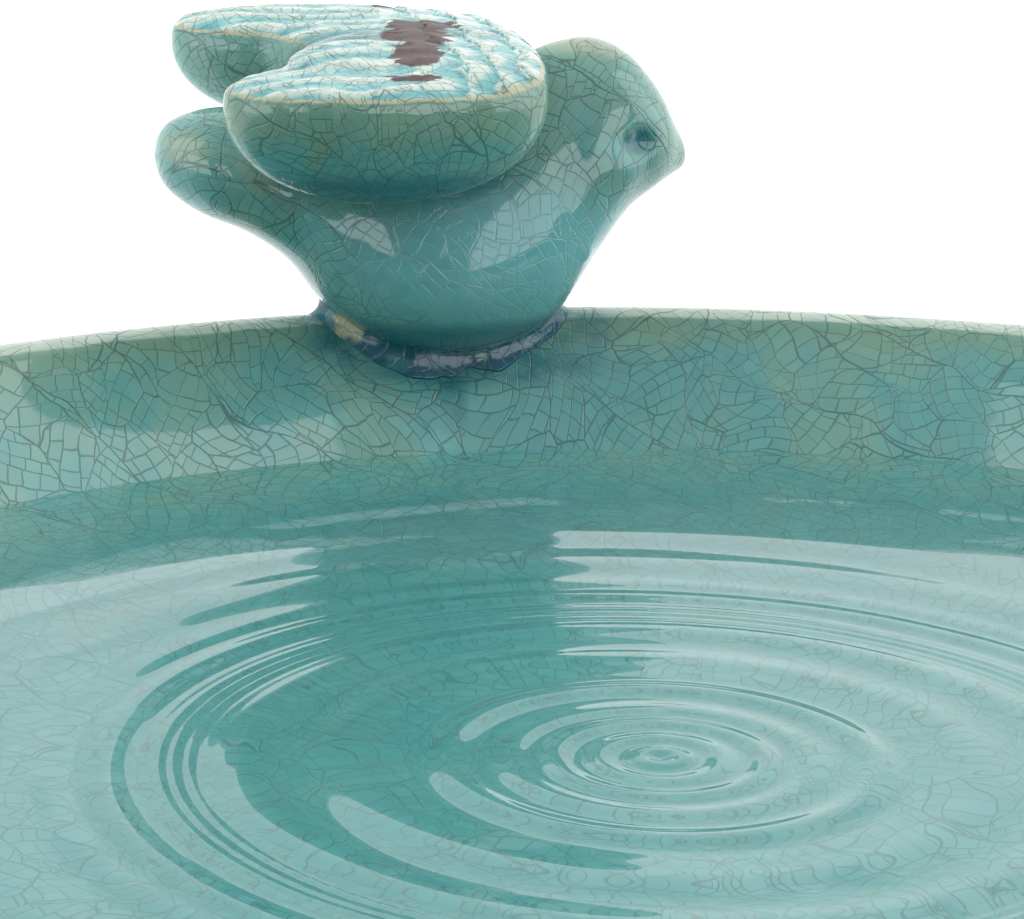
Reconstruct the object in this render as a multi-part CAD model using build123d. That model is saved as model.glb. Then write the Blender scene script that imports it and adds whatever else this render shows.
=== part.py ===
from build123d import *
from math import cos, radians, sin, sqrt, tan
import os

# A glazed stoneware bird bath: a shallow dish with a bird luted on to its rim, standing on a
# hollow pedestal. The dish drops over a spigot on the pedestal and rests on a loose rubber ring.
# Millimetres, +Z up. The origin is on the ground, on the axis of the pedestal and the dish.
# The bird sits on the rim at +Y and faces +X.

os.makedirs("parts", exist_ok=True)

# ---- driving dimensions -------------------------------------------------------------------------

# dish
RIM_HEIGHT = 457.0          # top of the lip above the ground
DISH_DIAMETER = 380.0       # across the outside of the lip
DISH_DEPTH = 60.0           # lip top to the middle of the floor, inside
LIP_RADIUS = 6.0            # the lip is a full round
WALL = 10.0                 # thickness of the dish's wall
FLOOR = 11.0                # thickness of the dish's floor
WALL_SLOPE = 50.0           # degrees from level
FLOOR_SLOPE = 4.0           # degrees from level, so that the dish drains to its middle
FLOOR_BLEND = 45.0          # inside radius between floor and wall
LIP_BLEND = 4.0             # radius between the lip and the outside of the wall
FOOT_RING_HEIGHT = 13.0     # below the middle of the dish's underside
FOOT_RING_WALL = 15.5       # radial thickness

# spigot joint and its seat
SPIGOT_RADIUS = 50.0        # outside of the pedestal's spigot
SPIGOT_WALL = 10.0
SPIGOT_CLEARANCE = 2.5      # radial, between spigot and foot ring
SPIGOT_TOP_GAP = 2.0        # spigot top to the dish's underside
SEAT_THICKNESS = 3.0        # rubber ring
SEAT_INSET = 1.5            # the rubber ring lies this far inside the foot ring's edges

# pedestal
BASE_RADIUS = 118.0
WAIST_RADIUS = 45.0
PEDESTAL_WALL = 9.0
BASE_BAND = 16.0            # height of the upright band at the foot
BASE_RING_WALL = 22.0       # width of the ring that the pedestal stands on
COLLAR_MARGIN = 4.0         # the collar stands out past the foot ring
COLLAR_BAND = 14.0          # height of the collar under the shoulder
BEAD_RADIUS = 5.0           # turned bead below the collar
NECK_RADIUS = 58.0          # under the bead
WAIST_AT = 0.52             # share of the pedestal's height

# bird
BIRD_LENGTH = 94.0          # beak to tail
BIRD_WALL = 4.5             # hollow cast body
SADDLE_THICKNESS = 5.0      # clay between the hollow and the lip
BIRD_LEAN = 5.7             # degrees that the bird leans in over the water
SEAM_WIDTH = 2.6            # slip that the bird is luted on with
VENT_RADIUS = 1.5           # lets the hollow breathe in the kiln

# ---- derived sizes ------------------------------------------------------------------------------

lip_circle = DISH_DIAMETER / 2 - LIP_RADIUS
foot_ring_inner = SPIGOT_RADIUS + SPIGOT_CLEARANCE
foot_ring_outer = foot_ring_inner + FOOT_RING_WALL
underside = RIM_HEIGHT - DISH_DEPTH - FLOOR
foot_ring_bottom = underside - FOOT_RING_HEIGHT
shoulder = foot_ring_bottom - SEAT_THICKNESS
spigot_top = underside - SPIGOT_TOP_GAP
collar_radius = foot_ring_outer + COLLAR_MARGIN
bird_scale = BIRD_LENGTH / 94.0


def save(shape, node):
    shape.label = node
    export_step(shape, f"parts/{node}.step")


# ---- dish ---------------------------------------------------------------------------------------


def crossing(point_a, slope_a, point_b, slope_b):
    """Where two straight lines meet, each given by a point and its slope in degrees."""
    rise_a, rise_b = tan(radians(slope_a)), tan(radians(slope_b))
    r = (point_b[1] - point_a[1] + rise_a * point_a[0] - rise_b * point_b[0]) / (rise_a - rise_b)
    return r, point_a[1] + rise_a * (r - point_a[0])


def turned(section):
    """A half section, drawn with radius along X and height along Y, turned about the Z axis."""
    return revolve(Plane.XZ * section, Axis.Z)


def block(inner, outer, low, high):
    """A rectangle of a half section, between two radii and two heights."""
    return Pos((inner + outer) / 2, (low + high) / 2) * Rectangle(outer - inner, high - low)


def eased(section, places, radius):
    """The section with its corners nearest the places rounded."""
    for place in places:
        corner = section.vertices().sort_by_distance((*place, 0))[0]
        section = fillet(corner, radius)
    return section


def dish_section(skin=0.0):
    """Half section of the dish. A skin above 0 makes all of it that much fatter."""
    lip = (lip_circle, RIM_HEIGHT - LIP_RADIUS)
    normal = (-sin(radians(WALL_SLOPE)), cos(radians(WALL_SLOPE)))
    inside = LIP_RADIUS + skin
    outside = WALL - LIP_RADIUS + skin
    wall_in = (lip[0] + inside * normal[0], lip[1] + inside * normal[1])
    wall_out = (lip[0] - outside * normal[0], lip[1] - outside * normal[1])
    floor_in = (0, RIM_HEIGHT - DISH_DEPTH + skin)
    floor_out = (0, underside - skin)
    corner_in = crossing(wall_in, WALL_SLOPE, floor_in, FLOOR_SLOPE)
    corner_out = crossing(wall_out, WALL_SLOPE, floor_out, FLOOR_SLOPE)
    outline = [floor_in, corner_in, wall_in, lip, wall_out, corner_out, floor_out]
    body = make_face(Polyline(outline, close=True))
    body = eased(body, [corner_in], FLOOR_BLEND - skin)
    body = eased(body, [corner_out], FLOOR_BLEND + WALL + skin)
    under_lip = sqrt(inside**2 - outside**2)
    crease = (wall_out[0] - under_lip * normal[1], wall_out[1] + under_lip * normal[0])
    return eased(body + Pos(*lip) * Circle(inside), [crease], LIP_BLEND)


def make_bowl():
    ring_top = underside + foot_ring_inner * tan(radians(FLOOR_SLOPE)) + FLOOR / 2
    ring = block(foot_ring_inner, foot_ring_outer, foot_ring_bottom, ring_top)
    low_corners = [(foot_ring_inner, foot_ring_bottom), (foot_ring_outer, foot_ring_bottom)]
    return turned(dish_section() + eased(ring, low_corners, FOOT_RING_WALL / 5))


# ---- pedestal -----------------------------------------------------------------------------------

base_top = BASE_BAND
collar_bottom = shoulder - COLLAR_BAND
bead_middle = collar_bottom - BEAD_RADIUS
neck = bead_middle - BEAD_RADIUS
waist = WAIST_AT * shoulder


def flared(start, middle, end):
    """The sweeping line from the foot in to the waist and out to the neck."""
    return Spline(start, middle, end, tangents=[(-1, 0.2), (0, 1), (0.35, 1)])


def solid_section():
    """Half section of the pedestal as if it were solid."""
    base = Polyline((0, 0), (BASE_RADIUS, 0), (BASE_RADIUS, base_top))
    flare = flared((BASE_RADIUS, base_top), (WAIST_RADIUS, waist), (NECK_RADIUS, neck))
    top = Polyline(
        (NECK_RADIUS, neck),
        (NECK_RADIUS, collar_bottom),
        (collar_radius, collar_bottom),
        (collar_radius, shoulder),
        (0, shoulder),
        (0, 0),
    )
    section = make_face([*base.edges(), *flare.edges(), *top.edges()])
    section = eased(section, [(BASE_RADIUS, 0), (BASE_RADIUS, base_top)], BASE_BAND / 5)
    collar_corners = [(collar_radius, shoulder), (collar_radius, collar_bottom)]
    section = eased(section, collar_corners, COLLAR_BAND / 4)
    spigot = block(0, SPIGOT_RADIUS, shoulder - 1, spigot_top)
    spigot = eased(spigot, [(SPIGOT_RADIUS, spigot_top)], SPIGOT_WALL / 4)
    return section + spigot + Pos(NECK_RADIUS, bead_middle) * Circle(BEAD_RADIUS)


def hollow_section():
    """Half section of the pedestal's inside, open at the foot and up through the spigot."""
    mouth = BASE_RADIUS - BASE_RING_WALL
    throat = SPIGOT_RADIUS - SPIGOT_WALL
    low = base_top - PEDESTAL_WALL
    high = shoulder - PEDESTAL_WALL
    waist_inside = WAIST_RADIUS - PEDESTAL_WALL
    neck_inside = NECK_RADIUS - PEDESTAL_WALL
    base = Polyline((0, 0), (mouth, 0), (mouth, low))
    flare = flared((mouth, low), (waist_inside, waist), (neck_inside, neck))
    top = Polyline(
        (neck_inside, neck),
        (neck_inside, high),
        (throat, high),
        (throat, spigot_top),
        (0, spigot_top),
        (0, 0),
    )
    return make_face([*base.edges(), *flare.edges(), *top.edges()])


def make_pedestal():
    return turned(solid_section() - hollow_section())


def make_seat_ring():
    outer = foot_ring_outer - SEAT_INSET
    inner = foot_ring_inner + SEAT_INSET
    return turned(block(inner, outer, shoulder, foot_ring_bottom))


# ---- bird ---------------------------------------------------------------------------------------
# The bird's own frame has its origin on top of the lip, +X forwards, +Y away from the water, +Z up.

# cross-sections from tail to beak: place along X, bottom, top, half width
BODY_STATIONS = [
    (-52.4, 26.2, 30.6, 4.4),
    (-50.0, 21.8, 34.1, 7.8),
    (-45.0, 18.4, 35.9, 11.2),
    (-37.5, 15.2, 36.5, 13.2),
    (-30.4, 10.2, 37.0, 14.0),
    (-23.8, 2.2, 37.5, 16.4),
    (-14.0, -4.4, 38.5, 20.0),
    (-2.0, -6.8, 39.5, 21.6),
    (8.6, -5.2, 44.2, 20.4),
    (16.2, -0.8, 47.3, 17.8),
    (23.0, 9.2, 48.0, 15.4),
    (28.9, 17.4, 45.5, 13.0),
    (34.0, 21.6, 40.1, 10.2),
    (37.6, 23.8, 34.0, 6.2),
    (39.7, 25.2, 30.2, 3.4),
    (40.5, 26.5, 28.5, 1.4),
]

# the wings are three lobes grown together: place of the middle, length, breadth, depth below
# the widest level, height above it, and the degrees that its tail end swings outwards
WING_LOBES = [
    ((-17.5, -20.0, 42.6), 56.0, 26.0, 17.5, 5.2, -4.0),
    ((-17.4, 20.5, 43.6), 61.0, 26.0, 15.5, 6.2, 4.0),
    ((-4.5, 1.0, 43.2), 34.0, 60.0, 13.0, 7.0, 0.0),
]


def body_loft(skin=0.0, lowest=None):
    """The bird's body, fatter by the skin all round, and cut off square no lower than lowest."""
    rings = []
    for x, bottom, top, half_width in BODY_STATIONS:
        bottom, top, half_width = (size * bird_scale for size in (bottom, top, half_width))
        bottom, top, half_width = bottom - skin, top + skin, half_width + skin
        if lowest is not None:
            bottom = max(bottom, lowest)
        if top - bottom < 1 or half_width < 1:
            continue
        centre = Plane((x * bird_scale, 0, (bottom + top) / 2), x_dir=(0, 1, 0), z_dir=(1, 0, 0))
        rings.append(centre * Ellipse(half_width, (top - bottom) / 2))
    return loft(rings)


def wing_lobe(middle, length, breadth, depth, crown, splay):
    """A boat-shaped lobe with a nearly flat top."""
    sizes = (length / 2, breadth / 2, depth, crown)
    long, broad, depth, crown = (size * bird_scale for size in sizes)
    keel = EllipticalCenterArc((0, 0), long, depth, start_angle=270, arc_size=90)
    top = EllipticalCenterArc((0, 0), long, crown, start_angle=0, arc_size=90)
    lobe = turned(make_face([keel, top, Line(top @ 1, keel @ 0)]))
    lobe = scale(lobe, by=(1, broad / long, 1))
    return Pos(Vector(middle) * bird_scale) * Rot(0, 0, -splay) * lobe


def bird_place():
    return Pos(0, lip_circle, RIM_HEIGHT) * Rot(BIRD_LEAN, 0, 0)


def largest(shape):
    """The main solid of a cut shape, without the crumbs that a boolean can leave."""
    return shape.solids().sort_by(SortBy.VOLUME)[-1]


def make_bird_body(bowl):
    solid = body_loft()
    hollow = body_loft(-BIRD_WALL, SADDLE_THICKNESS)
    vent_from = Vector(-32, 6, 22) * bird_scale
    vent = Plane(vent_from, z_dir=(-0.35, 0.75, -0.6)) * Cylinder(
        VENT_RADIUS, 30 * bird_scale, align=(Align.CENTER, Align.CENTER, Align.MIN)
    )
    return largest(bird_place() * (solid - hollow - vent) - bowl)


def make_bird_wings():
    lobes = [wing_lobe(*sizes) for sizes in WING_LOBES]
    return largest(bird_place() * (Part() + lobes - body_loft()))


def make_bird_seam(bowl):
    """The fillet of slip where the bird's foot meets the lip, inside and outside the dish."""
    near_bird = bird_place() * body_loft(SEAM_WIDTH)
    near_bowl = turned(dish_section(SEAM_WIDTH))
    return largest((near_bird & near_bowl) - bird_place() * body_loft() - bowl)


# ---- the pieces ---------------------------------------------------------------------------------

bowl = make_bowl()
save(make_pedestal(), "pedestal")
save(make_seat_ring(), "seat_ring")
save(bowl, "bowl")
save(make_bird_body(bowl), "bird_body")
save(make_bird_wings(), "bird_wings")
save(make_bird_seam(bowl), "bird_seam")
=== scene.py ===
# %% [markdown]
# # A crackle-glazed bird bath
#
# A shallow stoneware dish stands on a turned pedestal, and a small cast bird is stuck to its rim.
# Everything wears one glossy teal glaze that has crazed: it shrank more than the clay as it cooled,
# so it broke into little four-sided cells. The lesson builds the dish, the water, the bird, its wings
# and the slip that holds it, and spends most of its care on that glaze.
#
# The CAD model is the frame. It gives every size and place, and the pieces here ride on its bodies.

# %% The frame
from math import cos, exp, hypot, pi, radians, sin, sqrt, tan

import bpy
import numpy as np
from mathutils import Matrix, Vector, noise
from mathutils.bvhtree import BVHTree


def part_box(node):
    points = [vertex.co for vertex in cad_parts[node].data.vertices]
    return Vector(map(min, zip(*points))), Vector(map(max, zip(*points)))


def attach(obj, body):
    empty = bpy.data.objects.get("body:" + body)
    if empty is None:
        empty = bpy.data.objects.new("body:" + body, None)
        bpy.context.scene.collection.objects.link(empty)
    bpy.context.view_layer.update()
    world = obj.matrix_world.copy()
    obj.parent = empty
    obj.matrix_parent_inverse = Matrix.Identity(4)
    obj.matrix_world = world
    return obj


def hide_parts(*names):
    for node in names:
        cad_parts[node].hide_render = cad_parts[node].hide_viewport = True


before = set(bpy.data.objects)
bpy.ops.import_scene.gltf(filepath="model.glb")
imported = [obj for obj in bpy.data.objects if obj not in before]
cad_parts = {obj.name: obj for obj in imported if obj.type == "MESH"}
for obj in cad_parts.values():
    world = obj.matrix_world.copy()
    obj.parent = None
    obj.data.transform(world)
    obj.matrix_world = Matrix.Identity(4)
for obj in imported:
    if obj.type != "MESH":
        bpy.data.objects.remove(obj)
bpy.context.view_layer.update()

MM = 0.001
dish_low, dish_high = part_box("bowl")
RIM = dish_high.z
DISH_RADIUS = dish_high.x
print("rim height", RIM, "dish radius", DISH_RADIUS)

# %% [markdown]
# ## Working by hand
#
# Blender's operators act on everything that is selected, and loading the frame leaves its pieces
# selected. So each new piece starts from a clean selection. Two small helpers do that, and a third
# closes a piece: it merges doubled points and turns all faces outwards.


# %% Starting and closing a piece
def start_clean():
    bpy.ops.object.select_all(action="DESELECT")


def active(piece):
    start_clean()
    piece.select_set(True)
    bpy.context.view_layer.objects.active = piece


def edit(piece, *steps):
    """Goes into edit mode with everything selected, runs the steps and comes out."""
    active(piece)
    bpy.ops.object.mode_set(mode="EDIT")
    bpy.ops.mesh.select_all(action="SELECT")
    for step in steps:
        step()
    bpy.ops.object.mode_set(mode="OBJECT")


def close(piece, gap=0.00002):
    edit(
        piece,
        lambda: bpy.ops.mesh.remove_doubles(threshold=gap),
        lambda: bpy.ops.mesh.dissolve_degenerate(threshold=gap / 4),
        lambda: bpy.ops.mesh.normals_make_consistent(inside=False),
    )
    active(piece)
    bpy.ops.object.shade_smooth()
    print(piece.name, len(piece.data.vertices), "points", len(piece.data.polygons), "faces")


def apply_modifier(piece, kind, **settings):
    active(piece)
    modifier = piece.modifiers.new(kind.lower(), kind)
    for name, value in settings.items():
        setattr(modifier, name, value)
    bpy.ops.object.modifier_apply(modifier=modifier.name)


def points_of(piece):
    flat = np.empty(3 * len(piece.data.vertices), dtype=np.float64)
    piece.data.vertices.foreach_get("co", flat)
    return flat.reshape(-1, 3)


def set_points(piece, points):
    piece.data.vertices.foreach_set("co", np.asarray(points, dtype=np.float64).ravel())
    piece.data.update()


def normals_of(piece):
    flat = np.empty(3 * len(piece.data.vertices), dtype=np.float64)
    piece.data.vertices.foreach_get("normal", flat)
    return flat.reshape(-1, 3)


def set_attribute(piece, name, values):
    layer = piece.data.attributes.get(name) or piece.data.attributes.new(name, "FLOAT", "POINT")
    layer.data.foreach_set("value", np.asarray(values, dtype=np.float32))


def smoothstep(low, high, x):
    t = np.clip((x - low) / (high - low), 0, 1)
    return t * t * (3 - 2 * t)


# %% [markdown]
# ## The dish
#
# The dish is thrown or jiggered, so it is a lathe shape: one outline turned about the axis. A ring of
# points is laid along half the cut wall and spun. The outline repeats the frame's dish: a full round
# lip, a wall at 50 degrees, a floor that falls a little to the middle, and a foot ring underneath.
# Round corners are arcs, worked out from the corner and a radius.


# %% An outline with rounded corners
def rounded(corners, step=1.2 * MM):
    """Points along corners given as (radius, height, rounding), with arcs at the rounded ones."""
    line = []
    for i, (r, z, rounding) in enumerate(corners):
        here = Vector((r, z))
        if rounding == 0 or i in (0, len(corners) - 1):
            line.append(here)
            continue
        before = (Vector(corners[i - 1][:2]) - here).normalized()
        after = (Vector(corners[i + 1][:2]) - here).normalized()
        half = before.angle(after) / 2
        start = here + before * rounding / tan(half)
        centre = here + (before + after).normalized() * rounding / sin(half)
        sweep = pi - 2 * half
        turn = 1 if before.x * after.y - before.y * after.x < 0 else -1
        count = max(4, int(rounding * sweep / step))
        spoke = start - centre
        for k in range(count + 1):
            a = turn * sweep * k / count
            line.append(centre + Vector((spoke.x * cos(a) - spoke.y * sin(a),
                                         spoke.x * sin(a) + spoke.y * cos(a))))
    return line


def lathe(name, outline, turns=360):
    """Spins an outline, whose ends are on the axis, into a closed piece."""
    start_clean()
    bpy.ops.mesh.primitive_circle_add(vertices=len(outline), radius=1)
    piece = bpy.context.object
    piece.name = piece.data.name = name
    set_points(piece, [(p.x, 0, p.y) for p in outline])
    on_axis = [abs(p.x) < 1e-9 for p in outline]
    closing = [e.index for e in piece.data.edges if all(on_axis[v] for v in e.vertices)]
    active(piece)
    bpy.ops.object.mode_set(mode="EDIT")
    bpy.ops.mesh.select_all(action="DESELECT")
    bpy.ops.object.mode_set(mode="OBJECT")
    for i in closing:
        piece.data.edges[i].select = True
    bpy.ops.object.mode_set(mode="EDIT")
    bpy.ops.mesh.select_mode(type="EDGE")
    bpy.ops.mesh.delete(type="EDGE")
    bpy.ops.mesh.select_mode(type="VERT")
    bpy.ops.mesh.select_all(action="SELECT")
    bpy.ops.mesh.spin(steps=turns, angle=2 * pi, center=(0, 0, 0), axis=(0, 0, 1))
    bpy.ops.object.mode_set(mode="OBJECT")
    close(piece)
    return piece


# %% The dish's outline
LIP = 6 * MM
WALL = 10 * MM
FLOOR = 11 * MM
DEPTH = 60 * MM
SLOPE = radians(50)
FLOOR_SLOPE = radians(4)
BLEND = 45 * MM
FOOT_INSIDE, FOOT_OUTSIDE = 52.5 * MM, 68 * MM
LIP_STEPS = 40
LIP_TUCK = radians(22)
lip_circle = DISH_RADIUS - LIP
lip_height = RIM - LIP
across = Vector((-sin(SLOPE), cos(SLOPE)))
along = Vector((cos(SLOPE), sin(SLOPE)))
lip_centre = Vector((lip_circle, lip_height))


def meet(point, direction, height, slope):
    """Where a line from a point meets the line that rises from (0, height) at a slope."""
    t = (height + point.x * tan(slope) - point.y) / (direction.y - direction.x * tan(slope))
    return point + direction * t


def dish_wall(height):
    """Radius of the inside of the dish's wall at a height, above the blend to the floor."""
    top = lip_centre + across * LIP
    return top.x - (top.y - height) / tan(SLOPE)


wall_in = lip_centre + across * LIP
wall_out = lip_centre - across * (WALL - LIP)
corner_in = meet(wall_in, along, RIM - DEPTH, FLOOR_SLOPE)
corner_out = meet(wall_out, along, RIM - DEPTH - FLOOR, FLOOR_SLOPE)
under_floor = RIM - DEPTH - FLOOR
lip_arc = []
for k in range(LIP_STEPS + 1):
    a = pi / 2 + SLOPE - k / LIP_STEPS * (pi + LIP_TUCK)
    lip_arc.append((lip_centre.x + LIP * cos(a), lip_centre.y + LIP * sin(a), 0))
corners = [(0, RIM - DEPTH, 0), (*corner_in, BLEND), *lip_arc]
corners += [(*(wall_out - along * 9 * MM), 0), (*corner_out, BLEND + WALL)]
corners += [(FOOT_OUTSIDE, under_floor + FOOT_OUTSIDE * tan(FLOOR_SLOPE), 2 * MM)]
corners += [(FOOT_OUTSIDE, dish_low.z, 3 * MM), (FOOT_INSIDE, dish_low.z, 3 * MM)]
corners += [(FOOT_INSIDE, under_floor + FOOT_INSIDE * tan(FLOOR_SLOPE), 2 * MM)]
corners += [(0, under_floor, 0)]
dish = lathe("dish", rounded(corners))

# %% [markdown]
# A potter's dish is never dead true. The lip is pressed in by a fraction of a millimetre here and
# there. The wobble only ever goes inwards, so that the dish keeps its size.


# %% The wobble of the hand
def wobble(points, size, depth):
    """A slow unevenness, from 0 to 1, times depth, at each point."""
    return np.array([(noise.noise(Vector(p) / size) + 1) / 2 * depth for p in points])


def press_in(piece, size, depth):
    points, normals = points_of(piece), normals_of(piece)
    set_points(piece, points - normals * wobble(points, size, depth)[:, None])


press_in(dish, 55 * MM, 0.45 * MM)
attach(dish, "bowl")
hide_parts("bowl")
print("dish", dish.dimensions[:])

# %% [markdown]
# ## The bird's body
#
# The bird is slip-cast in a plaster mould, so it is one soft, full form. A skin wrapped over rings
# gives that best: a flat grid is rolled up, one row of it becomes one cross-section, and a smooth
# curve runs through the stations from tail to beak. The sections are wider low down, like a pear,
# where the breast is full and the crown is narrow.
#
# The bird is shaped in its own frame, with its foot at the origin and the beak along +X. Then it is
# leaned in over the water and moved to the rim.


# %% Rolling up a grid
def smooth_rows(rows, count):
    """Rows of numbers, run through by a smooth curve and read at count even steps."""
    rows = np.array(rows, dtype=float)
    knots = np.arange(len(rows))
    ahead = np.vstack([2 * rows[0] - rows[1], rows, 2 * rows[-1] - rows[-2]])
    made = []
    for t in np.linspace(0, knots[-1], count):
        i = min(int(t), len(rows) - 2)
        f = t - i
        a, b, c, d = ahead[i:i + 4]
        bend = 2 * a - 5 * b + 4 * c - d + f * (3 * (b - c) + d - a)
        made.append(b + 0.5 * f * (c - a + f * bend))
    return np.array(made)


def wrapped(name, around, along_count, shape, gap=0.00002):
    """A closed skin. shape(u, v) gives its point; v runs once round and u from end to end."""
    start_clean()
    bpy.ops.mesh.primitive_grid_add(x_subdivisions=along_count - 1, y_subdivisions=around, size=1)
    piece = bpy.context.object
    piece.name = piece.data.name = name
    grid = points_of(piece) + 0.5
    set_points(piece, [shape(u, v) for u, v, _ in grid])
    close(piece, gap)
    return piece


# place along X, bottom, top, half width, and how much wider it is low down, in mm
BODY_STATIONS = [
    (-53.0, 28.2, 28.2, 0.0, 0.0),
    (-52.2, 24.8, 31.6, 4.2, 0.0),
    (-50.0, 21.8, 34.1, 7.4, 0.0),
    (-45.0, 18.4, 35.9, 10.8, 0.05),
    (-37.5, 15.2, 36.5, 12.8, 0.10),
    (-30.4, 10.2, 37.0, 13.4, 0.20),
    (-23.8, 2.2, 37.5, 15.6, 0.30),
    (-14.0, -4.4, 38.5, 19.2, 0.34),
    (-2.0, -6.8, 39.5, 20.8, 0.34),
    (8.6, -5.2, 44.2, 19.6, 0.32),
    (16.2, -0.8, 47.3, 17.2, 0.26),
    (23.0, 9.2, 48.0, 15.2, 0.10),
    (28.9, 17.4, 45.5, 13.0, 0.0),
    (34.0, 21.6, 40.1, 10.2, 0.0),
    (37.6, 23.8, 34.0, 6.2, 0.0),
    (39.7, 25.2, 30.2, 3.4, 0.0),
    (40.5, 27.5, 27.5, 0.0, 0.0),
]
BODY_RINGS = 150
body_curve = smooth_rows(BODY_STATIONS, BODY_RINGS)


def body_point(u, v):
    x, bottom, top, half, pear = body_curve[round(u * (BODY_RINGS - 1))]
    a = 2 * pi * v
    width = max(half, 0) * (1 + pear * cos(a))
    return Vector((x, width * sin(a), (bottom + top) / 2 - (top - bottom) / 2 * cos(a))) * MM


body = wrapped("bird_body_cast", 128, BODY_RINGS, body_point)

# %% [markdown]
# The eye is a dent that a round tool left in the wet clay. Points near it are pushed in along a
# smooth bell. A small raised speck is left in it, and a healed glaze bubble stands on the breast.

# %% Eyes and bubbles
EYE = Vector((28.2, -12.2, 32.7)) * MM


def bell(points, centre, radii):
    """1 at the centre, falling smoothly to 0, for points measured against three radii."""
    away = ((points - np.array(centre)) / (np.array(radii) * MM)) ** 2
    return np.exp(-away.sum(axis=1))


def push(piece, centre, radii, depth):
    points, normals = points_of(piece), normals_of(piece)
    set_points(piece, points + normals * (bell(points, centre, radii) * depth * MM)[:, None])


for side in (1, -1):
    eye = Vector((EYE.x, EYE.y * side, EYE.z))
    push(body, eye, (3.4, 9, 2.6), -1.7)
    push(body, eye + Vector((-1.6, 0, 1.0)) * MM, (0.9, 9, 0.8), 0.45)
    push(body, eye + Vector((-3.6, 0, -4.2)) * MM, (5.0, 9, 3.0), 0.5)
push(body, Vector((19.5, -15.5, 13.6)) * MM, (1.0, 6, 1.0), 0.5)
push(body, Vector((-6.0, -21.0, 6.0)) * MM, (0.5, 6, 0.5), 0.3)
print("body", body.dimensions[:])

# %% [markdown]
# ## The wings
#
# The folded wings are thick pads of clay pressed together, with feathers modelled on top. Five
# boat-shaped lobes are joined, and a voxel remesh melts them into one skin, as a wet sponge melts the
# joins on the real piece. Smoothing rounds what is left of the seam.

# %% The lobes become one
# middle, length, breadth, depth below the widest level, height above it, swing outwards in degrees,
# and how square the plan is
WING_LOBES = [
    ((-17.5, -20.0, 42.6), 55.0, 25.0, 17.5, 4.4, -4.0, 0.86),
    ((-17.4, 20.5, 43.6), 60.0, 25.0, 15.5, 5.2, 4.0, 0.86),
    ((-4.5, 1.0, 43.2), 33.0, 58.0, 13.0, 6.0, 0.0, 0.62),
    ((-19.0, -6.0, 43.4), 33.0, 21.0, 12.0, 5.6, -44.0, 0.85),
    ((-19.0, 8.0, 43.4), 33.0, 19.0, 12.0, 5.2, 44.0, 0.85),
]


def power(x, p):
    return abs(x) ** p * (1 if x > 0 else -1)


def lobe(name, middle, length, breadth, depth, crown, swing, square):
    """A boat-shaped pad with a blunt plan and a flattened top."""

    def shape(u, v):
        a, b = 2 * pi * v, pi * (u - 0.5)
        reach = max(cos(b), 0) ** square
        x = power(sin(b), square + 0.1) * length / 2
        y = reach * power(sin(a), 0.85) * breadth / 2
        under = cos(a) > 0
        z = -reach * depth * cos(a) ** 0.9 if under else sqrt(reach) * crown * (-cos(a)) ** 0.6
        turn = radians(-swing)
        return Vector((middle[0] + x * cos(turn) - y * sin(turn),
                       middle[1] + x * sin(turn) + y * cos(turn), middle[2] + z)) * MM

    return wrapped(name, 64, 64, shape)


lobes = [lobe("lobe_%d" % i, *sizes) for i, sizes in enumerate(WING_LOBES)]
start_clean()
for piece in lobes:
    piece.select_set(True)
bpy.context.view_layer.objects.active = lobes[0]
bpy.ops.object.join()
wings = bpy.context.object
wings.name = wings.data.name = "bird_wing_pair"
apply_modifier(wings, "REMESH", mode="VOXEL", voxel_size=0.9 * MM)
apply_modifier(wings, "SMOOTH", factor=0.5, iterations=16)
apply_modifier(wings, "SUBSURF", levels=1, render_levels=1)
print("wings", wings.dimensions[:], len(wings.data.polygons))

# %% [markdown]
# The feathers are pressed relief, softened by glaze. In front lie rows of short covert feathers, each
# overlapping the next like roof tiles. Behind them long flight feathers run to the wing tips. The
# relief is a height worked out at each point of the top: a soft sawtooth whose edge is scalloped gives
# the coverts, and wavy ribs give the flight feathers. The height is kept as an attribute too, because
# glaze runs off ridges and pools between them, so the colour follows it.

# %% Feather relief
COVERT_LENGTH = 6.0 * MM
COVERT_WIDTH = 9.0 * MM
RIB_PITCH = 5.4 * MM


def drift(x, y, size, amount, seed):
    return noise.noise(Vector((x / size, y / size, seed))) * amount


def feathers(points):
    """Relief from 0 to 1 at each point of the wings' top."""
    height = np.zeros(len(points))
    for i, (x, y, z) in enumerate(points):
        back = 12 * MM - x + drift(x, y, 9 * MM, 2.2 * MM, 0)
        out = y + drift(x, y, 12 * MM, 2.4 * MM, 4)
        row = back / COVERT_LENGTH
        shift = 0.5 * (int(row + 10) % 2)
        scallop = abs(sin(pi * (out / COVERT_WIDTH + shift)))
        step = (row - 0.35 * (1 - scallop)) % 1
        covert = step * (1 - float(smoothstep(0.80, 1.0, step))) * 1.25 * (0.5 + 0.5 * scallop)
        fan = out - 0.10 * max(0, back - 20 * MM) * (1 if y > 0 else -1)
        rib = 0.5 + 0.5 * cos(2 * pi * fan / RIB_PITCH + drift(x, y, 16 * MM, 2.5, 9))
        rib = 0.15 + 0.7 * rib**1.4 + drift(3 * y, x, 5 * MM, 0.35, 2)
        far = float(smoothstep(19 * MM, 27 * MM, back))
        height[i] = covert * (1 - far) + rib * far
    return height


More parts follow.
